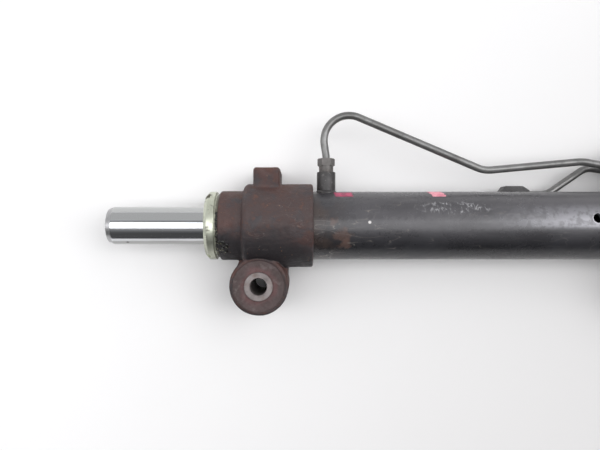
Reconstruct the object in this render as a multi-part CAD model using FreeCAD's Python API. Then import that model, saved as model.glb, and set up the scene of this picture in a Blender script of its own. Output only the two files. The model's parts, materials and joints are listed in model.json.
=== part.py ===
"""Double-acting, through-rod hydraulic steering cylinder, built as separate solids.

Millimetres. The parts are drawn in a working frame: X runs along the rod from the left
mounting eye, and Y = Z = 0 is the rod's axis. On export everything moves by AXIS, so that
the origin of the finished model is the centre of the left eye's bolt hole, +Z along the bolt.
"""
import FreeCAD, Part
import math
import os

os.makedirs("parts", exist_ok=True)
Vec = FreeCAD.Vector

# ---- driving dimensions ----------------------------------------------------------------------
ROD_R = 15.0            # chromed rod, 30 mm
BORE_R = 22.5           # cylinder bore, 45 mm
TUBE_R = 27.0           # cylinder tube outside, 54 mm
SLIDE_GAP = 0.05        # radial clearance of a part that slides in or on another
EYE_SPAN = 338.0        # left eye axis to right eye axis
MID_X = EYE_SPAN / 2
ROD_LENGTH = 578.0

BODY_R = 33.0           # end casting, large diameter
BODY_X0, BODY_X1 = -12.5, 41.8
NECK_R = 27.5           # end casting, neck
NECK_X0 = -31.0
SEAT_X = -3.0           # where the tube ends inside the casting
THREAD_R = 24.0         # M48 thread between casting and end stop
STOP_X0 = -42.0         # outer face of the plated end stop

EYE_Y = -46.5           # eye axis below the rod's axis
EYE_R = 22.8
EYE_Z0, EYE_Z1 = -30.0, 20.0
SHELL_R = 17.0          # bush shell outside
SHELL_WALL = 1.2
SLEEVE_R = 11.0         # bush inner sleeve
BOLT_R = 6.5            # clear hole for an M12 bolt
SLEEVE_Z0, SLEEVE_Z1 = -35.0, 25.0
FLANGE_R = 20.0         # rubber flange of the bush
FLANGE_T = 3.0

LUG_X = 5.6             # middle of the cast lug
LUG_W = 21.0
LUG_Y = 45.4            # outer face of the lug
LUG_Z0, LUG_Z1 = -35.0, 15.0
LUG_HOLE_Y = 39.0       # two M6 clear holes along X
LUG_HOLE_Z = (6.0, -26.0)
M6_R = 3.0
M6_CLEAR_R = 3.5        # coarse clear hole for M6

PORT_X = 52.5           # left port
BOSS_R, BOSS_Y = 7.4, 42.6
PORT_THREAD_R = 6.0     # M12 x 1 pipe nut
NUT_FLATS = 12.0
PORT_BORE_R = 2.5
RIGHT_PORT_X = 203.8    # right port in the tube
BLOCK_X = 208.0         # middle of the block that feeds it
BLOCK_LINE_Y, BLOCK_LINE_Z = 25.8, -19.0
VENT_X, VENT_R, VENT_ANGLE = 256.7, 3.75, 12.2

PIPE_R, PIPE_BORE_R = 3.0, 2.0

LEFT_NOSE_X, INNER_NOSE_X = 55.5, 200.5
PISTON_X = (LEFT_NOSE_X + INNER_NOSE_X) / 2
PISTON_W = 18.0
NOSE_R = 19.0           # the heads' noses, which limit the piston's travel
HEAD_R = BORE_R - 0.03
ROD_PASS_R = ROD_R + 0.2

MANIFOLD_X0 = 300.0     # hose manifold on the right lug
MANIFOLD_X1 = EYE_SPAN - LUG_X - LUG_W / 2
MANIFOLD_Y0, MANIFOLD_Y1 = 35.5, 66.0
LINE_Y = 46.0           # where both lines enter the manifold
LINE_Z = (2.0, -22.0)   # left line, right line
HOSE_THREAD_R = 6.25    # M14 x 1.5, tapping size
ROD_THREAD_R = 7.25     # M16 x 1.5, tapping size

AXIS = Vec(0, -EYE_Y, -(SLEEVE_Z0 + SLEEVE_Z1) / 2)
X, Y, Z = Vec(1, 0, 0), Vec(0, 1, 0), Vec(0, 0, 1)
ORIGIN = Vec(0, 0, 0)


# ---- drawing helpers -------------------------------------------------------------------------
def rounded_wire(points, place):
    """Closed wire through points (u, v) or (u, v, corner radius), put in space by place(u, v)."""
    corners = [(Vec(p[0], p[1], 0), p[2] if len(p) > 2 else 0.0) for p in points]
    edges, ends = [], []
    for n, (at, radius) in enumerate(corners):
        before = (corners[n - 1][0] - at).normalize()
        after = (corners[(n + 1) % len(corners)][0] - at).normalize()
        if radius == 0:
            ends.append((at, at, None))
            continue
        half = before.getAngle(after) / 2
        cut = radius / math.tan(half)
        inward = (before + after).normalize()
        middle = at + inward * (radius / math.sin(half) - radius)
        ends.append((at + before * cut, at + after * cut, middle))
    for n, (first, last, middle) in enumerate(ends):
        following = ends[(n + 1) % len(ends)][0]
        if middle is not None:
            edges.append(Part.Arc(*(place(p.x, p.y) for p in (first, middle, last))).toShape())
        if (following - last).Length > 1e-7:
            edges.append(Part.LineSegment(place(last.x, last.y), place(following.x, following.y)).toShape())
    return Part.Wire(edges)


def lathe(points, base=ORIGIN, direction=X):
    """Turned solid. Points are (distance along, radius[, corner radius]) from base along direction."""
    face = Part.Face(rounded_wire(points, lambda along, r: Vec(r, 0, along)))
    solid = face.revolve(ORIGIN, Z, 360)
    solid.Placement = FreeCAD.Placement(base, FreeCAD.Rotation(Z, direction))
    return Part.Solid(solid) if solid.ShapeType == "Shell" else solid


def ring(x0, x1, r_in, r_out, round_in=0.0, round_out=0.0, base=ORIGIN, direction=X):
    """Turned ring from x0 to x1 with rounded inner and outer edges."""
    return lathe([(x0, r_in, round_in), (x0, r_out, round_out), (x1, r_out, round_out), (x1, r_in, round_in)],
                 base, direction)


def rod(x0, x1, radius, base=ORIGIN, direction=X):
    """Plain cylinder from x0 to x1 along direction."""
    return Part.makeCylinder(radius, x1 - x0, base + direction * x0, direction)


def hexagon(flats, length, base, direction, turn=0.0):
    """Hexagonal prism with chamfered corners, starting at base."""
    corner = flats / math.sqrt(3)
    angles = [math.radians(60 * n + turn) for n in range(7)]
    outline = Part.makePolygon([Vec(corner * math.cos(a), corner * math.sin(a), 0) for a in angles])
    bar = Part.Face(outline).extrude(Z * length)
    bevel = (corner - flats / 2) * 0.6
    envelope = lathe([(0, 0), (0, corner - bevel), (bevel, corner), (length - bevel, corner),
                      (length, corner - bevel), (length, 0)], ORIGIN, Z)
    solid = bar.common(envelope)
    solid.Placement = FreeCAD.Placement(base, FreeCAD.Rotation(Z, direction))
    return solid


def prism(points, place, along):
    """Extruded solid: outline (u, v[, corner radius]) put in space by place, extruded by along."""
    return Part.Face(rounded_wire(points, place)).extrude(along)


def o_ring(x, groove_r, wall_r, width):
    """Ring squeezed oval between its groove's floor and the wall it seals on."""
    middle, top = (groove_r + wall_r) / 2, max(groove_r, wall_r)
    section = Part.Ellipse(Vec(middle, 0, x + width / 2), Vec(top, 0, x), Vec(middle, 0, x))
    solid = Part.Face(Part.Wire(section.toShape())).revolve(ORIGIN, Z, 360)
    solid.Placement = FreeCAD.Placement(ORIGIN, FreeCAD.Rotation(Z, X))
    return solid


def pipe(points, bend_radii, bore):
    """Round bar or bore of the given radius along straight runs joined by tangent arcs."""
    solids, start = [], points[0]
    for n in range(1, len(points)):
        here = points[n]
        into = (here - points[n - 1]).normalize()
        if n == len(points) - 1:
            solids.append(Part.makeCylinder(bore, (here - start).Length, start, into))
            break
        out = (points[n + 1] - here).normalize()
        turn = into.getAngle(out)
        radius = bend_radii[n - 1]
        cut = radius * math.tan(turn / 2)
        tangent = here - into * cut
        solids.append(Part.makeCylinder(bore, (tangent - start).Length, start, into))
        normal = into.cross(out).normalize()
        centre = tangent + normal.cross(into) * radius
        disc = Part.Face(Part.Wire(Part.makeCircle(bore, tangent, into)))
        solids.append(disc.revolve(centre, normal, math.degrees(turn)))
        start = here + out * cut
    return solids[0].fuse(solids[1:]).removeSplitter()


def mirrored(shape):
    """The same part at the right-hand end."""
    return shape.mirror(Vec(MID_X, 0, 0), X)


def save(name, *shapes):
    """Writes the solids of one node to its STEP file."""
    solids = [s for shape in shapes for s in shape.Solids]
    for s in solids:
        if not s.isValid() or s.Volume <= 0:
            raise ValueError(f"{name} has a bad solid: valid {s.isValid()}, volume {s.Volume:.1f}")
    whole = Part.makeCompound(solids) if len(solids) > 1 else solids[0]
    whole.translate(AXIS)
    whole.exportStep(f"parts/{name}.step")
    print(f"{name}: {len(solids)} solid(s), {sum(s.Volume for s in solids) / 1000:.1f} cm3")


# ---- end castings and their rubber-bushed eyes -----------------------------------------------
def end_casting():
    """Cast bracket: barrel with neck, mounting eye on -Y, lug on +Y that reaches down as a foot."""
    barrel = lathe([(NECK_X0, 0), (NECK_X0, NECK_R, 1.2), (BODY_X0, NECK_R, 1.5), (BODY_X0, BODY_R, 4.0),
                    (BODY_X1, BODY_R, 1.6), (BODY_X1, 0)])
    eye = lathe([(EYE_Z0, 0), (EYE_Z0, EYE_R, 1.5), (EYE_Z1, EYE_R, 1.5), (EYE_Z1, 0)], Vec(0, EYE_Y, 0), Z)
    web = prism([(-EYE_R + 0.2, EYE_Y), (-21.4, -39.5, 8), (-16.5, -28, 4), (-12, -15), (EYE_R - 0.6, -15),
                 (EYE_R - 0.6, EYE_Y)], lambda u, v: Vec(u, v, -27), Z * 33)
    half = LUG_W / 2
    lug = prism([(-half, LUG_Z0, 2.5), (half, LUG_Z0, 2.5), (half, LUG_Z1, 3), (-half, LUG_Z1, 3)],
                lambda u, v: Vec(LUG_X + u, 0, v), Y * (LUG_Y - 1.2))
    cap = prism([(1.2 - half, LUG_Z0, 2), (half - 1.2, LUG_Z0, 2), (half - 1.2, LUG_Z1 - 1.2, 2),
                 (1.2 - half, LUG_Z1 - 1.2, 2)], lambda u, v: Vec(LUG_X + u, LUG_Y - 1.3, v), Y * 1.3)
    solid = barrel.fuse([eye, web, lug, cap])
    flange_room = FLANGE_R + 2.2
    cuts = [
        rod(SEAT_X, BODY_X1 + 1, TUBE_R),
        rod(NECK_X0 - 1, SEAT_X, THREAD_R),
        rod(EYE_Z0 - 1, EYE_Z1 + 1, SHELL_R, Vec(0, EYE_Y, 0), Z),
        rod(EYE_Z1, EYE_Z1 + 20, flange_room, Vec(0, EYE_Y, 0), Z),
        rod(EYE_Z0 - 20, EYE_Z0, flange_room, Vec(0, EYE_Y, 0), Z),
    ]
    cuts += [rod(-half - 1, half + 1, M6_CLEAR_R, Vec(LUG_X, LUG_HOLE_Y, z), X) for z in LUG_HOLE_Z]
    return solid.cut(cuts)


def bush_shell():
    """Pressed steel shell round the rubber."""
    return ring(EYE_Z0 + 1, EYE_Z1 - 1, SHELL_R - SHELL_WALL, SHELL_R, 0, 0.3, Vec(0, EYE_Y, 0), Z)


def bush_rubber():
    """Moulded rubber with a flange over each face of the eye."""
    inner, core = SLEEVE_R + SLIDE_GAP, SHELL_R - SHELL_WALL
    low, high = EYE_Z0 - FLANGE_T, EYE_Z1 + FLANGE_T
    return lathe([(low, inner), (low, FLANGE_R, 1.2), (EYE_Z0, FLANGE_R), (EYE_Z0, SHELL_R),
                  (EYE_Z0 + 1, SHELL_R), (EYE_Z0 + 1, core), (EYE_Z1 - 1, core), (EYE_Z1 - 1, SHELL_R),
                  (EYE_Z1, SHELL_R), (EYE_Z1, FLANGE_R), (high, FLANGE_R, 1.2), (high, inner)],
                 Vec(0, EYE_Y, 0), Z)


def bush_sleeve():
    """Thick inner sleeve that the mounting bolt clamps."""
    lead_in = 0.4
    mouth = BOLT_R + lead_in
    return lathe([(SLEEVE_Z0, mouth), (SLEEVE_Z0, SLEEVE_R, 0.6), (SLEEVE_Z1, SLEEVE_R, 0.6),
                  (SLEEVE_Z1, mouth), (SLEEVE_Z1 - lead_in, BOLT_R), (SLEEVE_Z0 + lead_in, BOLT_R)],
                 Vec(0, EYE_Y, 0), Z)


def end_stop():
    """Plated screwed ring that closes the neck, with three hook-spanner notches."""
    lip, bore, relief = TUBE_R, ROD_R + 1.0, TUBE_R - 1.8
    back, inner_end, hollow = -34.0, -9.0, THREAD_R - 3.0
    solid = lathe([(STOP_X0, bore, 0.8), (STOP_X0, lip - 2.6), (STOP_X0 + 2.6, lip, 1.0), (back, lip, 0.6),
                   (back, relief), (NECK_X0, relief), (NECK_X0, THREAD_R), (inner_end, THREAD_R),
                   (inner_end, hollow), (-31.0, hollow, 1.5), (-36.0, bore + 1.5, 1.0), (-37.5, bore)])
    for turn in (57.6, 177.6, 297.6):
        notch = Part.makeBox(5.0, 5.0, 4.0, Vec(STOP_X0 - 1, -2.5, lip - 2.4))
        notch.rotate(ORIGIN, X, -turn)
        solid = solid.cut(notch)
    return solid


# ---- heads, seals and guides -----------------------------------------------------------------
SEAL_R = 20.0           # seal and wiper pockets in the heads
SEAL_W = 6.5            # length of a rod seal
GUIDE_R = 16.5          # outside of the guide bushes
RING_R = 20.5           # floor of the heads' O-ring grooves
RING_W, GROOVE_W = 3.0, 3.6
HEAD_FLANGE_X = -9.0    # outer face of the flanged heads, under the end stop
WIPER_X1 = -4.3
GUIDE_X0, GUIDE_X1 = 3.0, 23.0
OUTER_SEAL_X = 28.0
OUTER_RING_X = 39.8     # middle of the outer head's O-ring
INNER_RING_X = 215.3    # middle of the inner head's O-ring
INNER_SEAL_X = 220.0
INNER_GUIDE_X0, INNER_GUIDE_X1 = 230.0, 246.0


def ring_groove(x):
    """Tool that cuts a head's O-ring groove with its middle at x."""
    return ring(x - GROOVE_W / 2, x + GROOVE_W / 2, RING_R, HEAD_R + 1)


def outer_head(end_x, nose_x=None):
    """Flanged head clamped by the end stop. It carries the guide bush and, with a nose, the rod seal."""
    flange_x, flange_r = HEAD_FLANGE_X, THREAD_R - 0.05
    outline = [(flange_x, ROD_PASS_R), (flange_x, flange_r, 0.5), (SEAT_X, flange_r), (SEAT_X, HEAD_R),
               (end_x, HEAD_R, 0.8)]
    pockets = [rod(flange_x - 1, WIPER_X1, SEAL_R), rod(GUIDE_X0, GUIDE_X1, GUIDE_R)]
    if nose_x is None:
        outline += [(end_x, ROD_PASS_R)]
    else:
        outline += [(end_x, NOSE_R), (nose_x, NOSE_R, 0.5), (nose_x, ROD_PASS_R)]
        pockets += [rod(OUTER_SEAL_X, OUTER_SEAL_X + SEAL_W, SEAL_R), ring_groove(OUTER_RING_X)]
    return lathe(outline).cut(pockets)


def guide_bush(x0, x1):
    """Split-free bearing bush that carries the rod."""
    return ring(x0, x1, ROD_R + 0.04, GUIDE_R, 0.3, 0.3)


def rod_seal(x0, side):
    """Lip seal with its open groove towards side (+1 or -1 along X)."""
    width, inner, outer = SEAL_W, ROD_R + SLIDE_GAP, SEAL_R
    deep = width * 0.55
    mid = (inner + outer) / 2
    points = [(0, inner + 0.3), (0, outer), (width, outer), (width, mid + 0.9), (width - deep, mid),
              (width, mid - 0.9), (width, inner), (width * 0.6, inner), (width * 0.35, inner + 0.3)]
    solid = lathe(points)
    if side < 0:
        solid = solid.mirror(Vec(width / 2, 0, 0), X)
    solid.translate(X * x0)
    return solid


def wiper(x0, x1):
    """Dirt wiper whose thin lip points out, to -X."""
    inner = ROD_R + SLIDE_GAP
    return lathe([(x0, SEAL_R), (x1, SEAL_R), (x1, inner + 1.0), (x0 + 1.5, inner + 0.8), (x0 - 1.6, inner),
                  (x0 - 2.0, inner), (x0 - 1.8, inner + 0.8), (x0, inner + 1.9)])


LEFT_HEAD_X, RIGHT_HEAD_X = 47.0, 26.0  # inner ends of the two outer heads, each from its own eye
INNER_BODY_X, INNER_END_X = INNER_NOSE_X + 8.5, 250.0


def inner_head():
    """Head inside the tube that closes the pressure chamber, pointing to -X."""
    nose_x, body_x, end_x = INNER_NOSE_X, INNER_BODY_X, INNER_END_X
    solid = lathe([(nose_x, ROD_PASS_R), (nose_x, NOSE_R, 0.5), (body_x, NOSE_R), (body_x, HEAD_R, 0.8),
                   (end_x, HEAD_R, 0.8), (end_x, ROD_PASS_R)])
    return solid.cut([rod(INNER_SEAL_X, INNER_SEAL_X + SEAL_W, SEAL_R),
                      rod(INNER_GUIDE_X0, INNER_GUIDE_X1, GUIDE_R), ring_groove(INNER_RING_X)])


def snap_ring(x0, x1):
    """Internal retaining ring with a gap at the bottom."""
    solid = ring(x0, x1, NOSE_R + 0.6, BORE_R + 1.5)
    return solid.cut(Part.makeBox(x1 - x0 + 2, 9, 30, Vec(x0 - 1, -4.5, -35)))


# ---- tube and ports --------------------------------------------------------------------------
BLOCK_DIRECTION = Vec(0, BLOCK_LINE_Y, BLOCK_LINE_Z).normalize()
BLOCK_REACH = Vec(0, BLOCK_LINE_Y, BLOCK_LINE_Z).Length
RIGHT_BORE_R = 2.2


def cylinder_tube():
    """Drawn steel tube with two oil ports, a vent hole and two grooves for the inner head's rings."""
    end = EYE_SPAN - SEAT_X
    angle = math.radians(VENT_ANGLE)
    vent = Vec(0, math.sin(angle), math.cos(angle))
    groove_r = BORE_R + 1.6
    return ring(SEAT_X, end, BORE_R, TUBE_R).cut([
        rod(BORE_R - 3, TUBE_R + 3, PORT_BORE_R, Vec(PORT_X, 0, 0), Y),
        rod(BORE_R - 3, TUBE_R + 3, RIGHT_BORE_R, Vec(RIGHT_PORT_X, 0, 0), BLOCK_DIRECTION),
        rod(BORE_R - 3, TUBE_R + 3, VENT_R, Vec(VENT_X, 0, 0), vent),
        ring(INNER_BODY_X - 2.1, INNER_BODY_X, BORE_R - 1, groove_r),
        ring(INNER_END_X, INNER_END_X + 2.1, BORE_R - 1, groove_r),
    ])


SEAT_Y = 34.0           # where the left line's flared end seats
LINE_STOP = 5.0         # how far right of the block's middle the right line ends


def left_port_boss():
    """Round weld boss, saddled on the tube, threaded for the pipe nut."""
    base = Vec(PORT_X, 0, 0)
    boss = lathe([(20, 0), (20, BOSS_R), (BOSS_Y, BOSS_R, 0.6), (BOSS_Y, 0)], base, Y)
    bead = lathe([(20, 0), (20, BOSS_R + 1.1), (26.6, BOSS_R + 1.1, 0.9), (27.8, BOSS_R), (27.8, 0)], base, Y)
    return boss.fuse(bead).cut([rod(SEAT_X, 110, TUBE_R), rod(SEAT_Y, BOSS_Y + 1, PORT_THREAD_R, base, Y),
                                rod(20, SEAT_Y, PORT_BORE_R, base, Y)])


def right_port_block():
    """Low brazed block with sloped ends on the tube's rear flank. The line enters it from the side."""
    left_end, right_end, half_flat, corner_y, face_y = -10.2, 13.0, 7.4, 29.0, 32.6
    block = prism([(left_end, 8), (right_end, 8), (right_end, corner_y, 1.2), (half_flat, face_y, 3.0),
                   (-half_flat, face_y, 2.0), (left_end, corner_y, 1.0)],
                  lambda u, v: Vec(BLOCK_X + u, v, -23.8), Z * 9.6)
    line = Vec(0, BLOCK_LINE_Y, BLOCK_LINE_Z)
    return block.cut([rod(BLOCK_X - 40, BLOCK_X + 40, TUBE_R),
                      rod(BLOCK_X + LINE_STOP, BLOCK_X + 20, PIPE_R, line, X),
                      rod(RIGHT_PORT_X - RIGHT_BORE_R, BLOCK_X + LINE_STOP + 1, PIPE_BORE_R, line, X),
                      rod(BORE_R, BLOCK_REACH, RIGHT_BORE_R, Vec(RIGHT_PORT_X, 0, 0), BLOCK_DIRECTION)])


# ---- steel lines -----------------------------------------------------------------------------
FLARE_R, FLARE_LENGTH = 4.6, 2.2


def flare(base, direction):
    """Flared end of a pipe, widest at base."""
    return Part.makeCone(FLARE_R, PIPE_R, FLARE_LENGTH, base, direction)


def left_line():
    """Line from the left port: up, round a tight bend, down a long slope and along to the manifold."""
    start, end = Vec(PORT_X, SEAT_Y, 0), Vec(MANIFOLD_X0 + 10, LINE_Y, LINE_Z[0])
    points = [start, Vec(PORT_X, 55.0, 0), Vec(45.9, 100.3, 0), Vec(178.8, 43.9, 0),
              Vec(257.0, 51.0, LINE_Z[0] / 2), Vec(282.0, LINE_Y, LINE_Z[0]), end]
    radii = [24.0, 20.0, 24.0, 30.0, 24.0]
    outside = pipe(points, radii, PIPE_R).fuse([flare(start, Y), flare(end, -X)])
    return outside.cut(pipe([start - Y] + points[1:-1] + [end + X], radii, PIPE_BORE_R))


def right_line():
    """Line from the right port block: along the tube's flank, up behind the left line, then beside it."""
    start = Vec(BLOCK_X + LINE_STOP, BLOCK_LINE_Y, BLOCK_LINE_Z)
    end = Vec(MANIFOLD_X0 + 10, LINE_Y, LINE_Z[1])
    points = [start, Vec(237.0, BLOCK_LINE_Y, BLOCK_LINE_Z), Vec(270.0, 48.2, -20.5),
              Vec(287.0, LINE_Y, LINE_Z[1]), end]
    radii = [16.0, 16.0, 16.0]
    outside = pipe(points, radii, PIPE_R).fuse(flare(end, -X))
    return outside.cut(pipe([start - X] + points[1:-1] + [end + X], radii, PIPE_BORE_R))


def union_nut(mouth, direction, turn=30.0):
    """Pipe nut. Mouth is the thread's outer end in the port, direction points back along the pipe."""
    grip, neck, hexagon_length = 6.2, 4.8, 6.0
    shank = rod(-grip, 0, PORT_THREAD_R, mouth, direction)
    relief = rod(0, neck, PORT_THREAD_R - 0.3, mouth, direction)
    head_part = hexagon(NUT_FLATS, hexagon_length, mouth + direction * neck, direction, turn)
    whole = shank.fuse([relief, head_part])
    return whole.cut(rod(-grip - 1, neck + hexagon_length + 1, PIPE_R + SLIDE_GAP, mouth, direction))


def hose_manifold():
    """Machined block on the right lug: two pipe nuts enter on -X, two hose ports open on +Y."""
    x0, x1, y0, y1 = MANIFOLD_X0, MANIFOLD_X1, MANIFOLD_Y0, MANIFOLD_Y1
    z_mid, z_half, middle_x = sum(LINE_Z) / 2, 23.0, (x0 + x1) / 2
    block = prism([(x0, y0, 1), (x1, y0, 1), (x1, y1, 1), (x0, y1, 1)],
                  lambda u, v: Vec(u, v, z_mid - z_half), Z * (2 * z_half))
    cuts = [rod(MANIFOLD_X1 - 10.5, MANIFOLD_X1 + 1, M6_R, Vec(0, LUG_HOLE_Y, z), X) for z in LUG_HOLE_Z]
    for z in LINE_Z:
        port, hose = Vec(0, LINE_Y, z), Vec(middle_x, 0, z)
        cuts += [rod(MANIFOLD_X0 - 1, MANIFOLD_X0 + 10, PORT_THREAD_R, port, X),
                 rod(MANIFOLD_X0 + 9, middle_x + 1, PORT_BORE_R, port, X),
                 rod(MANIFOLD_Y1 - 11, MANIFOLD_Y1 + 1, HOSE_THREAD_R, hose, Y),
                 rod(LINE_Y - 1, MANIFOLD_Y1 - 10, PORT_BORE_R, hose, Y)]
    return block.cut(cuts)


def manifold_bolt(face_x, z):
    """M6 hexagon bolt from the far side of the lug into the manifold."""
    base = Vec(0, LUG_HOLE_Y, z)
    shank = rod(MANIFOLD_X1 - 9, face_x, M6_R, base, X)
    return shank.fuse(hexagon(10.0, 4.0, base + X * face_x, X))


# ---- rod and piston --------------------------------------------------------------------------
ROD_X0 = MID_X - ROD_LENGTH / 2
CLIP_R = 1.0            # wire radius of the piston's retaining rings
CLIP_X = PISTON_W / 2 - 1.3
SEAL_FLOOR_R, SEAL_INNER_R = 18.4, 20.6     # piston groove floor, inside of the piston's seal ring


def piston_rod():
    """Chromed through rod with a long lead-in chamfer and a threaded hole at each end."""
    x0, x1 = ROD_X0, ROD_X0 + ROD_LENGTH
    taper, face_r = 4.2, ROD_R - 1.6
    solid = lathe([(x0, 0), (x0, face_r, 0.5), (x0 + taper, ROD_R, 3.0), (x1 - taper, ROD_R, 3.0),
                   (x1, face_r, 0.5), (x1, 0)])
    depth, mouth = 32.0, ROD_THREAD_R + 1.0
    cuts = []
    for base, inward in ((Vec(x0, 0, 0), X), (Vec(x1, 0, 0), -X)):
        cuts.append(lathe([(-1, 0), (-1, mouth + 1), (1, mouth - 1), (depth, ROD_THREAD_R), (depth + 4, 0)],
                          base, inward))
    for x in (PISTON_X - CLIP_X, PISTON_X + CLIP_X):
        cuts.append(ring(x - CLIP_R, x + CLIP_R, ROD_R - CLIP_R, ROD_R + 1))
    return solid.cut(cuts)


def piston():
    """Piston with a groove for its seal ring outside, one for a static ring inside and sunk clip seats."""
    half, seat = PISTON_W / 2, PISTON_W / 2 - CLIP_X + CLIP_R
    solid = ring(PISTON_X - half, PISTON_X + half, ROD_R, BORE_R - 0.15, 0, 0.8)
    return solid.cut([ring(PISTON_X - 2.6, PISTON_X + 2.6, SEAL_FLOOR_R, BORE_R),
                      ring(PISTON_X - 1.4, PISTON_X + 1.4, ROD_R - 0.5, ROD_R + 1.6),
                      rod(PISTON_X - half - 1, PISTON_X - half + seat, ROD_R + 1.6),
                      rod(PISTON_X + half - seat, PISTON_X + half + 1, ROD_R + 1.6)])


def retaining_clip(x):
    """Round-wire ring, open at the bottom, in the rod's groove."""
    solid = ring(x - CLIP_R, x + CLIP_R, ROD_R - CLIP_R, ROD_R + CLIP_R, 0.5, 0.5)
    return solid.cut(Part.makeBox(4, 6, 30, Vec(x - 2, -3, -30)))


# ---- write every node ------------------------------------------------------------------------
def main():
    save("cylinder_tube", cylinder_tube())
    for side, put in (("left", lambda s: s), ("right", mirrored)):
        save(f"{side}_end_casting", put(end_casting()))
        save(f"{side}_bush_shell", put(bush_shell()))
        save(f"{side}_bush_rubber", put(bush_rubber()))
        save(f"{side}_bush_sleeve", put(bush_sleeve()))
        save(f"{side}_end_stop", put(end_stop()))
        save(f"{side}_wiper", put(wiper(HEAD_FLANGE_X, WIPER_X1)))
        save(f"{side}_guide_bush", put(guide_bush(GUIDE_X0, GUIDE_X1)))
    save("left_rod_head", outer_head(LEFT_HEAD_X, LEFT_NOSE_X))
    save("right_rod_head", mirrored(outer_head(RIGHT_HEAD_X)))
    save("left_rod_seal", rod_seal(OUTER_SEAL_X, 1))
    save("left_head_o_ring", o_ring(OUTER_RING_X, RING_R, BORE_R, RING_W))
    save("inner_head", inner_head())
    save("inner_rod_seal", rod_seal(INNER_SEAL_X, -1))
    save("inner_guide_bush", guide_bush(INNER_GUIDE_X0, INNER_GUIDE_X1))
    save("inner_head_o_ring", o_ring(INNER_RING_X, RING_R, BORE_R, RING_W))
    save("inner_head_snap_rings", snap_ring(INNER_BODY_X - 2.0, INNER_BODY_X),
         snap_ring(INNER_END_X, INNER_END_X + 2.0))
    save("left_port_boss", left_port_boss())
    save("right_port_block", right_port_block())
    save("left_line", left_line())
    save("right_line", right_line())
    save("left_port_nut", union_nut(Vec(PORT_X, BOSS_Y, 0), Y, 0.0))
    save("left_line_manifold_nut", union_nut(Vec(MANIFOLD_X0, LINE_Y, LINE_Z[0]), -X))
    save("right_line_manifold_nut", union_nut(Vec(MANIFOLD_X0, LINE_Y, LINE_Z[1]), -X))
    save("hose_manifold", hose_manifold())
    lug_far = MANIFOLD_X1 + LUG_W
    washer_t = 1.2
    for place, z in zip(("front", "rear"), LUG_HOLE_Z):
        seat = Vec(0, LUG_HOLE_Y, z)
        save(f"{place}_manifold_washer", ring(lug_far, lug_far + washer_t, M6_R + 0.2, 5.8, 0, 0.3, seat, X))
        save(f"{place}_manifold_bolt", manifold_bolt(lug_far + washer_t, z))
    save("piston_rod", piston_rod())
    save("piston", piston())
    save("piston_seal_ring", ring(PISTON_X - 2.5, PISTON_X + 2.5, SEAL_INNER_R, BORE_R - SLIDE_GAP, 0.2, 0.3))
    save("piston_seal_expander", o_ring(PISTON_X, SEAL_FLOOR_R, SEAL_INNER_R, 3.6))
    save("piston_static_o_ring", o_ring(PISTON_X, ROD_R, ROD_R + 1.6, 2.2))
    save("piston_retaining_clips", retaining_clip(PISTON_X - CLIP_X), retaining_clip(PISTON_X + CLIP_X))


main()
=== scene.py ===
"""Looks of the used steering cylinder: worn paint, rusty castings, chrome, zinc and rubber, on a pale floor.

Lengths are metres, in the frame's own coordinates. AXIS_Y and AXIS_Z place the rod's axis.
"""
import json
import math
import random

import bpy
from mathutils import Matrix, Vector
from mathutils import noise as field


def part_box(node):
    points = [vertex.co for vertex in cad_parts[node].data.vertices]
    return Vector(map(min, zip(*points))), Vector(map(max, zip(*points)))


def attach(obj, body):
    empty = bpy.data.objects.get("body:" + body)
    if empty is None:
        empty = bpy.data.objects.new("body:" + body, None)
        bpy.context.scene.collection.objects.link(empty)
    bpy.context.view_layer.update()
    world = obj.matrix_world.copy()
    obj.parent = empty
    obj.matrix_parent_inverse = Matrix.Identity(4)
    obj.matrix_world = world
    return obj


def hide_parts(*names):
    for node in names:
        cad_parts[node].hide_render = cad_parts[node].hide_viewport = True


MM = 0.001
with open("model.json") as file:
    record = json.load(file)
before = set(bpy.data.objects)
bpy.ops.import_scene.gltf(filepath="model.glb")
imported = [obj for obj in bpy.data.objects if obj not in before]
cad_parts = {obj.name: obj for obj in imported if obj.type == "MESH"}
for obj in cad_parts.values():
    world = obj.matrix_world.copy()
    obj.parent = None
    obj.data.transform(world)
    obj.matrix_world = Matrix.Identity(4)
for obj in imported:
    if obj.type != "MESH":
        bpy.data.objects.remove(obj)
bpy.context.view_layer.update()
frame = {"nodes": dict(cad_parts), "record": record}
nodes = frame["nodes"]

tube_low, tube_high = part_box("cylinder_tube")
AXIS_Y = (tube_low.y + tube_high.y) / 2
AXIS_Z = (tube_low.z + tube_high.z) / 2
TUBE_R = (tube_high.y - tube_low.y) / 2
FLOOR_Z = min(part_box(n)[0].z for n in nodes)
casting_low, casting_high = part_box("left_end_casting")
boss_low, boss_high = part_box("left_port_boss")
BOSS_X = (boss_low.x + boss_high.x) / 2
BOSS_WELD_R = (boss_high.x - boss_low.x) / 2 - 1.3 * MM
MIDDLE_X = (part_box("left_bush_sleeve")[0].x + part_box("right_bush_sleeve")[1].x) / 2
ROD_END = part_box("piston_rod")[1].x - MIDDLE_X
VENT_X, VENT_ANGLE, VENT_R = 256.7 * MM, 12.2, 3.75 * MM
ROD_R, NECK_R = 15 * MM, 27.5 * MM


def on_cylinder(x, angle, radius):
    """Point at station x on a cylinder round the rod's axis, angle in degrees from +Z towards +Y."""
    turn = math.radians(angle)
    return Vector((x, AXIS_Y + radius * math.sin(turn), AXIS_Z + radius * math.cos(turn)))


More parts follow.
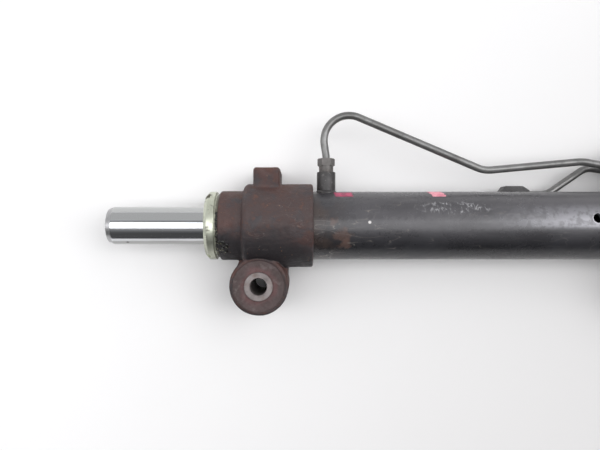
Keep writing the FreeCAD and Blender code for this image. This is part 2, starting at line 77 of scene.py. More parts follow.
# ---- small helpers for node materials --------------------------------------------------------
class Graph:
    """A material's node tree, with short calls for the nodes used here.

    Noise scales are in features per metre, and colours are linear RGB.
    """

    def __init__(self, name):
        self.material = bpy.data.materials.new(name)
        self.material.use_nodes = True
        self.tree = self.material.node_tree
        self.shader = next(n for n in self.tree.nodes if n.type == "BSDF_PRINCIPLED")
        self.place = self.tree.nodes.new("ShaderNodeTexCoord").outputs["Object"]

    def node(self, kind, **inputs):
        """A new node with its inputs set or linked by name."""
        made = self.tree.nodes.new(kind)
        for key, value in inputs.items():
            self.put(made.inputs[key], value)
        return made

    def put(self, socket, value):
        """Links a socket to another one, or sets its value."""
        if isinstance(value, bpy.types.NodeSocket):
            self.tree.links.new(value, socket)
        else:
            socket.default_value = value

    def noise(self, scale, detail=4.0, rough=0.55, stretch=None, shift=0.0):
        """Fractal noise, 0 to 1, stretched and shifted in space."""
        at = self.place
        if stretch or shift:
            mapping = self.node("ShaderNodeMapping", Vector=at)
            mapping.inputs["Scale"].default_value = stretch or (1, 1, 1)
            mapping.inputs["Location"].default_value = (shift, shift * 0.7, -shift)
            at = mapping.outputs["Vector"]
        made = self.node("ShaderNodeTexNoise", Vector=at, Scale=scale, Detail=detail, Roughness=rough)
        return made.outputs["Fac"]

    def cells(self, scale):
        """Distance to the nearest of many random points, for pits and specks."""
        return self.node("ShaderNodeTexVoronoi", Vector=self.place, Scale=scale).outputs["Distance"]

    def math(self, operation, a, b=0.0):
        """One arithmetic step on sockets or numbers."""
        made = self.tree.nodes.new("ShaderNodeMath")
        made.operation = operation
        for socket, value in zip(made.inputs, (a, b)):
            self.put(socket, value)
        return made.outputs[0]

    def apart(self, a, b):
        """How far two values lie apart, without sign."""
        return self.math("ABSOLUTE", self.math("SUBTRACT", a, b))

    def most(self, *values):
        """Largest of several sockets."""
        total = values[0]
        for value in values[1:]:
            total = self.math("MAXIMUM", total, value)
        return total

    def times(self, *values):
        """Product of sockets and numbers."""
        total = values[0]
        for value in values[1:]:
            total = self.math("MULTIPLY", total, value)
        return total

    def ramp(self, value, low, high, to_low=0.0, to_high=1.0):
        """Smooth step of value from low..high to to_low..to_high."""
        made = self.tree.nodes.new("ShaderNodeMapRange")
        made.interpolation_type = "SMOOTHSTEP"
        for key, number in zip(("Value", "From Min", "From Max", "To Min", "To Max"),
                               (value, low, high, to_low, to_high)):
            self.put(made.inputs[key], number)
        return made.outputs["Result"]

    def mix(self, fac, a, b):
        """Colour a where fac is 0, b where it is 1. Colours are triples or sockets."""
        made = self.tree.nodes.new("ShaderNodeMix")
        made.data_type = "RGBA"
        colours = [i for i in made.inputs if i.type == "RGBA"]
        self.put(made.inputs["Factor"], fac)
        for socket, value in zip(colours, (a, b)):
            self.put(socket, value if isinstance(value, bpy.types.NodeSocket) else (*value, 1.0))
        return next(o for o in made.outputs if o.type == "RGBA")

    def axis(self, name):
        """The X, Y or Z coordinate in the object's own frame, which is the part's for the CAD nodes."""
        return self.node("ShaderNodeSeparateXYZ", Vector=self.place).outputs[name]

    def facing(self, direction):
        """How far the surface looks along a direction, -1 to 1, before bump."""
        made = self.tree.nodes.new("ShaderNodeVectorMath")
        made.operation = "DOT_PRODUCT"
        self.put(made.inputs[0], self.tree.nodes.new("ShaderNodeTexCoord").outputs["Normal"])
        made.inputs[1].default_value = Vector(direction).normalized()
        return made.outputs["Value"]

    def away(self, at, radii=(1, 1, 1)):
        """Distance from a point, in units of the three radii."""
        mapping = self.node("ShaderNodeMapping", Vector=self.place)
        mapping.vector_type = "TEXTURE"
        mapping.inputs["Location"].default_value = at
        mapping.inputs["Scale"].default_value = radii
        length = self.tree.nodes.new("ShaderNodeVectorMath")
        length.operation = "LENGTH"
        self.put(length.inputs[0], mapping.outputs["Vector"])
        return length.outputs["Value"]

    def stain(self, at, radii, ragged=0.9, scale=160):
        """1 at a point, falling to 0 at an ellipsoid of the given radii round it, with a ragged rim."""
        rim = self.math("ADD", self.away(at, radii), self.times(self.noise(scale, 5), ragged))
        return self.ramp(rim, 0.5 + 0.5 * ragged, 1.0 + 0.5 * ragged, 1.0, 0.0)

    def scratches(self, scale, stretch, width, shift=0.0):
        """Thin wandering lines, where a stretched noise passes its middle value."""
        off_middle = self.apart(self.noise(scale, 2, 0.4, stretch, shift), 0.5)
        return self.ramp(off_middle, 0.0, width, 1.0, 0.0)

    def bump(self, height, depth):
        """Raises the shading by height times depth."""
        made = self.node("ShaderNodeBump", Height=height, Distance=depth, Strength=1.0)
        self.put(self.shader.inputs["Normal"], made.outputs["Normal"])

    def finish(self, colour, rough, metal=0.0):
        """Sets the shader and hands back the finished material."""
        self.put(self.shader.inputs["Base Color"], colour)
        self.put(self.shader.inputs["Roughness"], rough)
        self.put(self.shader.inputs["Metallic"], metal)
        return self.material


# ---- materials -------------------------------------------------------------------------------
def rusty_casting():
    """Sand-cast iron: red-brown rust, blue-grey scale in patches, soot patches and painted shade on -Y,
    ochre specks and scuffs.
    """
    g = Graph("rusty_casting")
    broad, blotch = g.noise(24, 6), g.noise(75, 6, 0.6, shift=3)
    fine, grain = g.noise(190, 6, 0.65), g.noise(900, 3)
    colour = g.mix(g.ramp(broad, 0.40, 0.62), (0.078, 0.034, 0.028), (0.057, 0.036, 0.034))
    colour = g.mix(g.times(g.ramp(blotch, 0.48, 0.64), 0.8), colour, (0.040, 0.036, 0.040))
    colour = g.mix(g.times(g.ramp(fine, 0.52, 0.72), 0.7), colour, (0.118, 0.056, 0.040))
    # Painted shade: darker on the -Y side, where light falls least, broken into soot patches by noise.
    soot_and_shade = g.math("ADD", g.times(g.facing((0, -1, 0.1)), 0.62), g.times(g.noise(34, 5, shift=2), 0.9))
    colour = g.mix(g.ramp(soot_and_shade, 0.40, 0.84), colour, (0.015, 0.012, 0.014))
    scuffed = g.ramp(g.noise(40, 3, shift=8), 0.53, 0.61)
    scuffs = g.times(g.scratches(55, (1, 3.2, 1), 0.005, 7), scuffed, 0.45)
    colour = g.mix(scuffs, colour, (0.22, 0.18, 0.165))
    specks = g.times(g.ramp(g.cells(300), 0.03, 0.13, 1.0, 0.0), g.ramp(g.noise(90, 3, shift=5), 0.52, 0.60))
    colour = g.mix(specks, colour, (0.30, 0.15, 0.075))
    g.bump(g.math("ADD", g.times(fine, 0.6), g.times(grain, 0.4)), 1.0 * MM)
    return g.finish(colour, g.ramp(fine, 0.3, 0.7, 0.50, 0.76))


def tube_paint():
    """Worn black paint: dusty and lightened by painted light on top, rust and scuffs by the left casting,
    worn bare round the vent under a painted highlight band.
    """
    g = Graph("worn_black_paint")
    cloud, fine, x = g.noise(26, 6), g.noise(210, 6, 0.6), g.axis("X")
    streak = g.noise(60, 6, 0.6, stretch=(0.22, 1, 1))
    colour = g.mix(g.ramp(cloud, 0.35, 0.68), (0.013, 0.013, 0.015), (0.022, 0.022, 0.026))
    # Painted light: the faces turned up and towards +Y are lightened, in dusty streaks, fading near the left
    # casting.
    dust_and_light = g.times(g.ramp(g.facing((0, 0.62, 0.78)), 0.15, 0.95), g.ramp(streak, 0.28, 0.72, 0.55, 1.0),
                   g.ramp(x, casting_high.x, casting_high.x + 40 * MM, 0.38, 1.0))
    colour = g.mix(g.times(dust_and_light, 0.92), colour, (0.094, 0.091, 0.097))
    mottle = g.times(g.ramp(g.noise(95, 6, 0.7, shift=9), 0.50, 0.64), g.ramp(x, 0.05, 0.13, 0.8, 0.25))
    on_top = g.ramp(g.facing((0, 0, 1)), 0.1, 0.9)
    colour = g.mix(g.times(mottle, on_top, 0.5), colour, (0.052, 0.052, 0.056))
    near_casting = g.ramp(x, casting_high.x + 3 * MM, casting_high.x + 30 * MM, 1.0, 0.0)
    brown = g.times(near_casting, g.ramp(g.noise(48, 6, 0.6, shift=1), 0.38, 0.62), 0.55)
    colour = g.mix(brown, colour, (0.080, 0.055, 0.044))
    for along, angle, length, wide in ((64.0, -15, 7, 9), (66.0, -33, 6, 5), (57.0, 6, 4, 4)):
        at = on_cylinder(along * MM, angle, TUBE_R)
        colour = g.mix(g.times(g.stain(at, (length * MM, wide * MM, wide * MM), 2.4, 170), 0.55),
                       colour, (0.120, 0.074, 0.060))
    scuffs = g.times(g.scratches(80, (0.5, 2.0, 1), 0.012, 4), g.ramp(g.noise(45, 4, shift=6), 0.46, 0.57))
    colour = g.mix(g.times(scuffs, g.ramp(x, 0.07, 0.16, 0.7, 0.2)), colour, (0.22, 0.20, 0.18))
    chalk = g.stain(on_cylinder(149 * MM, 31, TUBE_R), (34 * MM, 7 * MM, 7 * MM), 0.7)
    strokes = g.most(g.scratches(130, (1.3, 0.7, 1), 0.045, 11), g.scratches(95, (2.2, 0.5, 1), 0.035, 14))
    worn_off = g.ramp(g.noise(420, 5, shift=10), 0.42, 0.58)
    colour = g.mix(g.times(chalk, strokes, worn_off, 0.55), colour, (0.46, 0.46, 0.47))
    fleck_at = (84.2 * MM, AXIS_Y + 2.5 * MM, AXIS_Z + TUBE_R)
    fleck = g.ramp(g.away(fleck_at), 0.9 * MM, 1.4 * MM, 1.0, 0.0)
    colour = g.mix(fleck, colour, (0.62, 0.60, 0.58))
    chips = g.times(g.ramp(g.cells(150), 0.02, 0.055, 1.0, 0.0), g.ramp(g.noise(35, 3, shift=4), 0.50, 0.58))
    colour = g.mix(g.times(chips, 0.8), colour, (0.30, 0.28, 0.27))
    # Painted highlight: a light, metallic band on the faces turned up, cut off just below the axis, where
    # the overhead light reflects; partly worn paint.
    worn_and_highlight = g.times(g.ramp(x, 0.155, 0.262), g.ramp(x, 0.266, 0.300, 1.0, 0.0),
                     g.ramp(g.facing((0, 0.08, 1)), 0.80, 0.995), g.ramp(fine, 0.36, 0.56, 0.45, 1.0),
                     g.ramp(g.axis("Y"), AXIS_Y - 4 * MM, AXIS_Y + 0.5 * MM))
    vent = on_cylinder(VENT_X, VENT_ANGLE, TUBE_R)
    rim = g.ramp(g.away(vent), VENT_R + 0.2 * MM, VENT_R + 1.0 * MM, 0.7, 0.0)
    # bare holds the vent's worn rim and the painted highlight band.
    bare = g.most(g.times(worn_and_highlight, 0.47), rim)
    colour = g.mix(bare, colour, (0.46, 0.46, 0.49))
    rough = g.ramp(g.math("ADD", cloud, g.times(fine, 0.5)), 0.45, 1.0, 0.20, 0.38)
    g.bump(g.math("ADD", g.times(fine, 0.5), g.times(cloud, 0.5)), 0.3 * MM)
    return g.finish(colour, g.math("SUBTRACT", rough, g.times(bare, 0.03)), g.times(bare, 0.8))


def fitting_paint(name, low, high):
    """Thin dark paint on the welded fittings, with bare edges and dirt."""
    g = Graph(name)
    fine, cloud = g.noise(320, 6, 0.6), g.noise(110, 5, shift=2)
    colour = g.mix(g.ramp(cloud, 0.35, 0.65), low, high)
    colour = g.mix(g.times(g.ramp(fine, 0.56, 0.72), 0.7), colour, (0.20, 0.19, 0.18))
    g.bump(fine, 0.35 * MM)
    return g.finish(colour, g.ramp(fine, 0.35, 0.7, 0.36, 0.58), 0.15)


def chrome():
    """Hard chrome with painted shade on its flanks, wipe marks along it, a few tiny pits and turned end
    chamfers.
    """
    g = Graph("hard_chrome")
    wipe = g.noise(42, 6, 0.6, stretch=(0.10, 1, 1))
    shade_edge = g.noise(70, 5, stretch=(0.3, 1, 1), shift=2)
    lines = g.noise(300, 3, 0.5, stretch=(0.03, 1, 1), shift=4)
    colour = g.mix(g.ramp(wipe, 0.3, 0.7), (0.64, 0.665, 0.69), (0.80, 0.81, 0.83))
    colour = g.mix(g.times(g.ramp(lines, 0.42, 0.62), 0.30), colour, (0.46, 0.485, 0.51))
    # Painted shade: the +Y flank and, darker still, the -Y flank are dulled to tone down their reflections,
    # with noise fraying the borders.
    rear_shade = g.math("ADD", g.facing((0, 1, 0)), g.times(shade_edge, 0.15))
    colour = g.mix(g.ramp(rear_shade, 0.28, 0.42), colour, (0.50, 0.51, 0.505))
    front_shade = g.math("ADD", g.facing((0, -1, 0)), g.times(shade_edge, 0.15))
    colour = g.mix(g.ramp(front_shade, 0.80, 0.92), colour, (0.34, 0.34, 0.335))
    pits = g.times(g.ramp(g.cells(110), 0.015, 0.045, 1.0, 0.0), g.ramp(g.noise(60, 2), 0.56, 0.60))
    mark = g.ramp(g.away(on_cylinder(-104 * MM, -61, ROD_R)), 0.8 * MM, 1.2 * MM, 1.0, 0.0)
    colour = g.mix(g.most(pits, mark), colour, (0.03, 0.025, 0.02))
    from_middle = g.apart(g.axis("X"), MIDDLE_X)
    turned = g.ramp(from_middle, ROD_END - 4.4 * MM, ROD_END - 3.6 * MM)
    colour = g.mix(turned, colour, (0.44, 0.44, 0.445))
    g.bump(g.math("ADD", wipe, g.times(lines, 0.25)), 0.06 * MM)
    rough = g.math("ADD", g.ramp(wipe, 0.3, 0.75, 0.05, 0.14), g.times(turned, 0.25))
    return g.finish(colour, rough, 1.0)


def zinc():
    """Yellow-white zinc plate, dulled, with dark dirt in its notches and round its back edge, and painted
    shade on its -Y side.
    """
    g = Graph("zinc_plate")
    fine, cloud = g.noise(260, 6, 0.6), g.noise(55, 5)
    colour = g.mix(cloud, (0.50, 0.52, 0.42), (0.66, 0.69, 0.58))
    colour = g.mix(g.times(g.ramp(fine, 0.50, 0.68), 0.35), colour, (0.33, 0.33, 0.26))
    from_middle = g.apart(g.axis("X"), MIDDLE_X)
    inner = abs(MIDDLE_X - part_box("left_end_casting")[0].x)
    ragged = g.times(g.math("SUBTRACT", g.noise(150, 6, 0.7, shift=3), 0.5), 5 * MM)
    back_edge = g.ramp(g.math("ADD", from_middle, ragged), inner + 1.0 * MM, inner + 3.4 * MM, 1.0, 0.0)
    blots = g.ramp(g.noise(120, 6, 0.65, shift=5), 0.60, 0.68)
    notch = g.stain(on_cylinder(-40 * MM, 62, 26 * MM), (4 * MM, 4 * MM, 5 * MM), 0.8, 300)
    # Painted shade: darker and less metallic on the -Y side, in cloudy patches.
    low_side_shade = g.times(g.ramp(g.facing((-0.3, -1, 0.1)), 0.35, 0.90), g.ramp(cloud, 0.36, 0.60, 0.35, 1.0))
    grime_and_shade = g.most(g.times(notch, 0.8), g.times(low_side_shade, 0.75), g.times(back_edge, 0.9),
                   g.times(blots, 0.75))
    colour = g.mix(grime_and_shade, colour, (0.075, 0.064, 0.044))
    g.bump(fine, 0.15 * MM)
    return g.finish(colour, g.ramp(fine, 0.3, 0.7, 0.26, 0.46), g.ramp(grime_and_shade, 0.1, 0.7, 0.92, 0.1))


def rubber():
    """Dull rubber stained brown by the casting's rust, redder round the sleeve, greyer at its rim."""
    g = Graph("bush_rubber_rusty")
    cloud, fine = g.noise(75, 6), g.noise(420, 5)
    colour = g.mix(g.ramp(cloud, 0.35, 0.7), (0.054, 0.037, 0.035), (0.080, 0.054, 0.053))
    for name in ("left_bush_sleeve", "right_bush_sleeve"):
        low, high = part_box(name)
        middle = ((low.x + high.x) / 2, (low.y + high.y) / 2, 0)
        off = g.away(middle, (1, 1, 1e3))
        uneven = g.math("ADD", off, g.times(g.math("SUBTRACT", g.noise(90, 5, shift=5), 0.5), 14 * MM))
        red = g.times(g.ramp(uneven, 11 * MM, 17 * MM, 1.0, 0.0), 0.55)
        colour = g.mix(red, colour, (0.135, 0.058, 0.058))
    chalky = g.times(g.ramp(g.noise(170, 5, shift=7), 0.56, 0.70), 0.6)
    colour = g.mix(chalky, colour, (0.13, 0.105, 0.10))
    g.bump(fine, 0.4 * MM)
    return g.finish(colour, g.ramp(fine, 0.3, 0.7, 0.60, 0.85))


def plain_rubber():
    """Clean black nitrile of the seals."""
    g = Graph("nitrile")
    fine = g.noise(500, 3)
    g.bump(fine, 0.05 * MM)
    colour = g.mix(fine, (0.012, 0.012, 0.012), (0.022, 0.022, 0.022))
    return g.finish(colour, g.ramp(fine, 0.3, 0.7, 0.45, 0.6))


def bare_steel(name, low, high, rough, rust=0.0, metal=1.0):
    """Metal with fine variation between two colours. Rust is the share of brown in its patches."""
    g = Graph(name)
    fine, cloud = g.noise(240, 6, 0.6), g.noise(60, 5, shift=1)
    colour = g.mix(g.ramp(cloud, 0.3, 0.7), low, high)
    colour = g.mix(g.times(g.ramp(fine, 0.52, 0.70), 0.4), colour, tuple(c * 0.55 for c in low))
    patches = g.times(g.ramp(g.noise(110, 6, 0.6, shift=6), 0.50, 0.66), rust)
    colour = g.mix(patches, colour, (0.13, 0.070, 0.048))
    g.bump(fine, 0.12 * MM)
    return g.finish(colour, g.ramp(fine, 0.3, 0.7, rough - 0.07, rough + 0.09),
                    g.times(g.math("SUBTRACT", 1.0, patches), metal))


def seal_plastic():
    """Grey-green filled PTFE."""
    g = Graph("filled_ptfe")
    fine = g.noise(300, 4)
    g.bump(fine, 0.05 * MM)
    return g.finish(g.mix(fine, (0.05, 0.10, 0.08), (0.09, 0.15, 0.12)), g.ramp(fine, 0.3, 0.7, 0.4, 0.55))


def marker_paint(name, low, high):
    """Workshop paint, worn thin in places."""
    g = Graph(name)
    worn = g.noise(260, 5)
    colour = g.mix(g.ramp(worn, 0.38, 0.64), low, high)
    g.bump(worn, 0.15 * MM)
    return g.finish(colour, g.ramp(worn, 0.3, 0.7, 0.45, 0.65))


def grease():
    """Black, wet-looking grease with grit in it."""
    g = Graph("black_grease")
    lumps = g.noise(700, 4)
    grit = g.ramp(g.cells(620), 0.12, 0.26, 1.0, 0.0)
    g.bump(lumps, 0.6 * MM)
    colour = g.mix(grit, (0.005, 0.0045, 0.0035), (0.38, 0.36, 0.24))
    return g.finish(colour, g.ramp(lumps, 0.3, 0.7, 0.12, 0.40))


# ---- pieces ----------------------------------------------------------------------------------
def apply_modifiers(piece):
    """Replaces the piece's mesh with its modified one."""
    bpy.context.view_layer.update()
    seen = piece.evaluated_get(bpy.context.evaluated_depsgraph_get())
    mesh = bpy.data.meshes.new_from_object(seen)
    piece.modifiers.clear()
    old, piece.data = piece.data, mesh
    bpy.data.meshes.remove(old)


def new_piece(name, mesh, material, slot, *stands_for):
    """A piece fixed to the barrel, with one material."""
    piece = bpy.data.objects.new(name, mesh)
    bpy.context.scene.collection.objects.link(piece)
    piece.data.materials.clear()
    piece.data.materials.append(material)
    for face in piece.data.polygons:
        face.use_smooth = True
    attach(piece, "barrel")
    if stands_for:
        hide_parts(*stands_for)
    return piece


def mesh_from(name, vertices, faces):
    """A checked mesh from points and faces."""
    mesh = bpy.data.meshes.new(name)
    mesh.from_pydata(vertices, [], faces)
    mesh.validate()
    return mesh


def grid_faces(rows, columns, closed_columns=False):
    """Quads between neighbouring points of a grid stored row by row."""
    wide = columns if closed_columns else columns - 1
    return [(i * columns + j, i * columns + (j + 1) % columns,
             (i + 1) * columns + (j + 1) % columns, (i + 1) * columns + j)
            for i in range(rows - 1) for j in range(wide)]


def cast_copy(node, material, slot, voxel, lumps):
    """A copy of a CAD solid with cast, rounded edges and a lightly lumpy skin."""
    piece = new_piece(node + "_cast", nodes[node].data.copy(), material, slot, node)
    remesh = piece.modifiers.new("remesh", "REMESH")
    remesh.mode = "VOXEL"
    remesh.voxel_size = voxel
    remesh.use_smooth_shade = True
    smooth = piece.modifiers.new("smooth", "SMOOTH")
    smooth.factor = 0.5
    smooth.iterations = 4
    apply_modifiers(piece)
    mesh = piece.data
    places = [v.co.copy() for v in mesh.vertices]
    normals = [v.normal.copy() for v in mesh.vertices]
    coarse, grain = 90.0, 380.0     # lumps per metre
    moved = []
    for at, out in zip(places, normals):
        height = 0.6 * field.noise(at * coarse) + 0.4 * field.noise(at * grain)
        moved.extend(at + out * (lumps * height))
    mesh.vertices.foreach_set("co", moved)
    mesh.update()
    return piece


def patch_on_tube(name, x0, x1, angle0, angle1, material, skew):
    """A thin dab of paint on the tube between two stations and two angles, with brushed, uneven ends."""
    columns, rows = 15, 41
    lift, thick, sunk = 0.02 * MM, 0.10 * MM, 0.04 * MM
    uneven, rim_slope = 0.06, 9
    rng = random.Random(name)
    ends = [rng.uniform(-1, 1) * uneven for _ in range(2 * columns)]
    vertices = []
    for top in (1, 0):
        for i in range(rows):
            for j in range(columns):
                u, w = i / (rows - 1), j / (columns - 1)
                inset = min(1.0, rim_slope * min(u, 1 - u, w, 1 - w))
                u = u * (1 + ends[j] - ends[columns + j]) - ends[j]
                height = TUBE_R + lift + (thick * math.sqrt(inset) if top else -sunk)
                x = x0 + (x1 - x0) * (u + skew * (w - 0.5))
                vertices.append(on_cylinder(x, angle0 + (angle1 - angle0) * w, height))
    size = rows * columns
    upper = [tuple(reversed(f)) for f in grid_faces(rows, columns)]
    lower = [tuple(v + size for v in f) for f in grid_faces(rows, columns)]
    rim = ([i * columns for i in range(rows)] + [(rows - 1) * columns + j for j in range(1, columns)]
           + [i * columns + columns - 1 for i in range(rows - 2, -1, -1)] + list(range(columns - 2, 0, -1)))
    sides = [(a, b, b + size, a + size) for a, b in zip(rim, rim[1:] + rim[:1])]
    return new_piece(name, mesh_from(name, vertices, upper + lower + sides), material, "tube_paint")


def blobs(name, centres, material, slot):
    """Little lumps that stick to a cylinder: (x, angle, cylinder radius, size) each, run together."""
    rings, around, flatness = 7, 12, 0.42
    wobble, variety = 0.25, 50
    vertices, faces = [], []
    for x, angle, radius, size in centres:
        start = len(vertices)
        at, above = on_cylinder(x, angle, radius), on_cylinder(x, angle, radius + size)
        out = (above - at).normalized()
        along = Vector((1, 0, 0))
        across = out.cross(along)
        vertices.append(at + out * (flatness * size))
        for i in range(1, rings + 1):
            tilt = math.pi * i / (rings + 1)
            for j in range(around):
                turn = 2 * math.pi * j / around
                wave = 1 + wobble * field.noise((at + Vector((i, j, 0)) * 0.37) * variety)
                flat = size * math.sin(tilt) * wave
                vertices.append(at + along * (flat * math.cos(turn)) + across * (flat * math.sin(turn))
                                + out * (flatness * size * math.cos(tilt)))
        vertices.append(at - out * (flatness * size))
        last = len(vertices) - 1
        faces += [tuple(start + 1 + v for v in f) for f in grid_faces(rings, around, True)]
        for j in range(around):
            following = (j + 1) % around
            faces.append((start, start + 1 + following, start + 1 + j))
            bottom = start + 1 + (rings - 1) * around
            faces.append((last, bottom + j, bottom + following))
    return new_piece(name, mesh_from(name, vertices, faces), material, slot)


def weld_bead(name, centre_x, boss_r, bead_r, material):
    """Rippled fillet weld where a round boss stands on the tube."""
    stations, around, ripples = 220, 10, 34
    radius = boss_r + 0.25 * bead_r
    vertices = []
    for i in range(stations):
        turn = 2 * math.pi * i / stations
        wave = math.sin(turn * ripples + 0.8 * math.sin(turn * 5))
        reach = bead_r * (1 + 0.16 * wave + 0.12 * field.noise(Vector((i * 0.11, 0, 7))))
        out = Vector((math.cos(turn), 0, math.sin(turn)))
        z = radius * math.sin(turn)
        on_tube = AXIS_Y + math.sqrt(TUBE_R ** 2 - z ** 2)
        foot = Vector((centre_x + radius * math.cos(turn), on_tube, AXIS_Z + z))
        for j in range(around):
            angle = 2 * math.pi * j / around
            rise = Vector((0, 0.9 * reach * math.sin(angle), 0))
            vertices.append(foot + out * (reach * math.cos(angle)) + rise)
    faces = grid_faces(stations, around, True)
    tail = (stations - 1) * around
    faces += [(tail + j, tail + (j + 1) % around, (j + 1) % around, j) for j in range(around)]
    return new_piece(name, mesh_from(name, vertices, faces), material, "fitting_black")


def grease_marks(material):
    """Black grease squeezed from the joint of the plated end stop, and thrown on the neck beside it."""
    rng = random.Random(7)
    joint_x, joint_r = casting_low.x, 25.6 * MM
    dabs = []
    for turn in range(-64, 24, 3):
        dabs.append((joint_x - rng.uniform(0.2, 1.0) * MM, turn + rng.uniform(-2, 2), joint_r,
                     rng.uniform(0.8, 1.5) * MM))
    for _ in range(30):
        dabs.append((joint_x + rng.uniform(0.5, 7.0) * MM, rng.uniform(-54, -24), NECK_R - 0.10 * MM,
                     rng.choice((0.6, 0.8, 1.1, 1.7)) * MM))
    return blobs("grease_marks", dabs, material, "seal_rubber")


# ---- set -------------------------------------------------------------------------------------
# Radiance of the overhead band, the lamp to the right, the wall on +Y, the sky beside the band, the dark
# side on -Y and the horizon. The soft edges are tilts in radians, from straight up towards +Y.
BAND_LIGHT, WINDOW_LIGHT, WALL_LIGHT = 2.35, 2.5, 0.72
SKY_LIGHT, DARK_LIGHT, HORIZON_LIGHT = 0.30, 0.075, 0.5
BAND_START, BAND_END = (-0.31, -0.23), (0.27, 0.35)
DARK_EDGE, WALL_EDGE = (-0.9, -0.2), (0.42, 0.66)
HORIZON_EDGE = (0.02, 0.07)                 # Z of the direction
WINDOW_TOWARDS = (0.50, 0.30, 0.81)
WINDOW_EDGE = (0.93, 0.99)                  # cosine of the angle to WINDOW_TOWARDS


def floor():
    """Plain pale floor, with painted shade making it a little darker towards +X and -Y."""
    bpy.ops.mesh.primitive_plane_add(size=40.0, location=(MIDDLE_X, AXIS_Y, FLOOR_Z))
    plane = bpy.context.object
    plane.name = "floor"
    g = Graph("pale_floor")
    colour = g.mix(g.noise(6, 5), (0.86, 0.855, 0.845), (0.90, 0.897, 0.89))
    shade = g.math("SUBTRACT", g.axis("X"), g.axis("Y"))
    colour = g.mix(g.ramp(shade, -0.35, 0.45), colour, (0.665, 0.657, 0.648))
    plane.data.materials.append(g.finish(colour, 0.8))


def lighting():
    """A studio sky: a bright band overhead along the part, a lamp to the right, grey on +Y, dark on -Y."""
    world = bpy.data.worlds.new("studio")
    bpy.context.scene.world = world
    world.use_nodes = True
    tree = world.node_tree

    def step(value, edge, before, after):
        """Smooth step of a socket across an edge."""
        made = tree.nodes.new("ShaderNodeMapRange")
        made.interpolation_type = "SMOOTHSTEP"
        tree.links.new(value, made.inputs["Value"])
        for key, number in zip(("From Min", "From Max", "To Min", "To Max"), (*edge, before, after)):
            made.inputs[key].default_value = number
        return made.outputs["Result"]

    def combine(operation, a, b):
        """One arithmetic step on two sockets."""
        made = tree.nodes.new("ShaderNodeMath")
        made.operation = operation
        tree.links.new(a, made.inputs[0])
        tree.links.new(b, made.inputs[1])
        return made.outputs[0]

    direction = tree.nodes.new("ShaderNodeTexCoord").outputs["Generated"]
    parts = tree.nodes.new("ShaderNodeSeparateXYZ")
    tree.links.new(direction, parts.inputs["Vector"])
    tilt = combine("ARCTAN2", parts.outputs["Y"], parts.outputs["Z"])
    overhead = combine("MULTIPLY", step(tilt, BAND_START, 0.0, 1.0), step(tilt, BAND_END, BAND_LIGHT, 0.0))
    walls = combine("ADD", step(tilt, WALL_EDGE, 0.0, WALL_LIGHT - SKY_LIGHT),
                    step(tilt, DARK_EDGE, DARK_LIGHT, SKY_LIGHT))
    horizon = step(parts.outputs["Z"], HORIZON_EDGE, HORIZON_LIGHT, 0.0)
    towards = tree.nodes.new("ShaderNodeVectorMath")
    towards.operation = "DOT_PRODUCT"
    tree.links.new(direction, towards.inputs[0])
    towards.inputs[1].default_value = Vector(WINDOW_TOWARDS).normalized()
    window = step(towards.outputs["Value"], WINDOW_EDGE, 0.0, WINDOW_LIGHT)
    total = combine("ADD", combine("ADD", overhead, walls), combine("ADD", horizon, window))
    tree.links.new(total, tree.nodes["Background"].inputs["Strength"])
    tree.nodes["Background"].inputs["Color"].default_value = (1.0, 1.0, 1.02, 1.0)


def camera():
    """Straight down on the left half, from the distance at which the object was seen."""
    lens = bpy.data.cameras.new("camera")
    lens.sensor_width = 36.0
    lens.lens = 34.5
    lens.clip_start, lens.clip_end = 0.01, 60.0
    eye = bpy.data.objects.new("camera", lens)
    eye.location = (31.6 * MM, AXIS_Y + 0.4 * MM, AXIS_Z + 460 * MM)
    bpy.context.scene.collection.objects.link(eye)
    bpy.context.scene.camera = eye


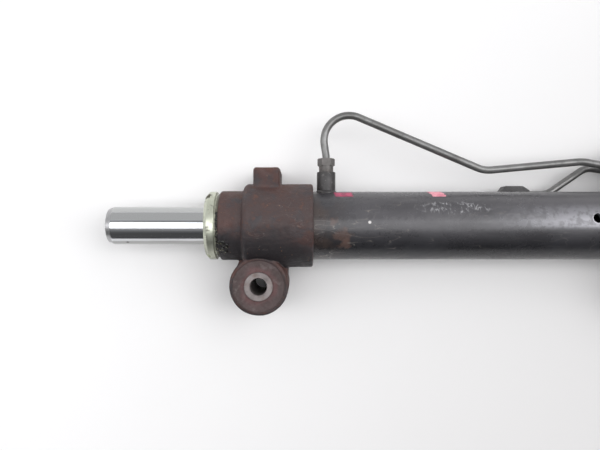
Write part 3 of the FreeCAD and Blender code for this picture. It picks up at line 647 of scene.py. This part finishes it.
# ---- build -----------------------------------------------------------------------------------
def paint_nodes():
    """Gives each CAD node its material, chosen by the record's slot."""
    fitting = fitting_paint("fitting_paint", (0.026, 0.024, 0.024), (0.048, 0.045, 0.045))
    finishes = {
        "cast_iron": rusty_casting(),
        "tube_paint": tube_paint(),
        "chrome": chrome(),
        "zinc_plate": zinc(),
        "bush_rubber": rubber(),
        "sleeve_steel": bare_steel("sleeve_steel", (0.19, 0.165, 0.16), (0.26, 0.235, 0.23), 0.58,
                                   rust=0.45, metal=0.6),
        "shell_steel": bare_steel("shell_steel", (0.12, 0.10, 0.09), (0.20, 0.17, 0.16), 0.5, rust=0.7),
        "line_steel": bare_steel("line_steel", (0.15, 0.15, 0.146), (0.22, 0.22, 0.215), 0.36,
                                 rust=0.08, metal=0.65),
        "fitting_black": fitting,
        "nut_steel": bare_steel("nut_steel", (0.095, 0.089, 0.085), (0.155, 0.146, 0.140), 0.44,
                                rust=0.2, metal=0.6),
        "manifold_steel": fitting,
        "bolt_zinc": bare_steel("bolt_zinc", (0.45, 0.45, 0.40), (0.58, 0.58, 0.52), 0.32, rust=0.1),
        "head_aluminium": bare_steel("aluminium", (0.55, 0.55, 0.56), (0.65, 0.65, 0.66), 0.32),
        "guide_bronze": bare_steel("bronze", (0.45, 0.31, 0.16), (0.56, 0.40, 0.22), 0.36),
        "seal_rubber": plain_rubber(),
        "seal_plastic": seal_plastic(),
        "piston_steel": bare_steel("turned_steel", (0.28, 0.28, 0.29), (0.38, 0.38, 0.39), 0.32),
        "spring_steel": bare_steel("spring_steel", (0.16, 0.15, 0.15), (0.22, 0.21, 0.21), 0.37),
    }
    slots = {row["node"]: row["material_slot"] for row in frame["record"]["subparts"]}
    for name, item in nodes.items():
        item.data.materials.clear()
        item.data.materials.append(finishes[slots[name]])
    return finishes


def main():
    """Builds the whole scene round the CAD nodes."""
    camera()
    finishes = paint_nodes()
    voxel, lumps = 0.7 * MM, 0.24 * MM
    for side in ("left", "right"):
        cast_copy(side + "_end_casting", finishes["cast_iron"], "cast_iron", voxel, lumps)
    weld_bead("left_port_weld", BOSS_X, BOSS_WELD_R, 0.8 * MM, finishes["fitting_black"])
    grease_marks(grease())
    patch_on_tube("pink_mark_left", 58.5 * MM, 72.5 * MM, 56, 74,
                  marker_paint("dark_pink_paint", (0.28, 0.035, 0.085), (0.50, 0.085, 0.16)), -0.10)
    patch_on_tube("pink_mark_middle", 133.0 * MM, 143.5 * MM, 56, 84,
                  marker_paint("pale_pink_paint", (0.66, 0.20, 0.27), (0.86, 0.38, 0.44)), -0.30)
    floor()
    lighting()
    bpy.context.scene.view_settings.view_transform = "Standard"


main()
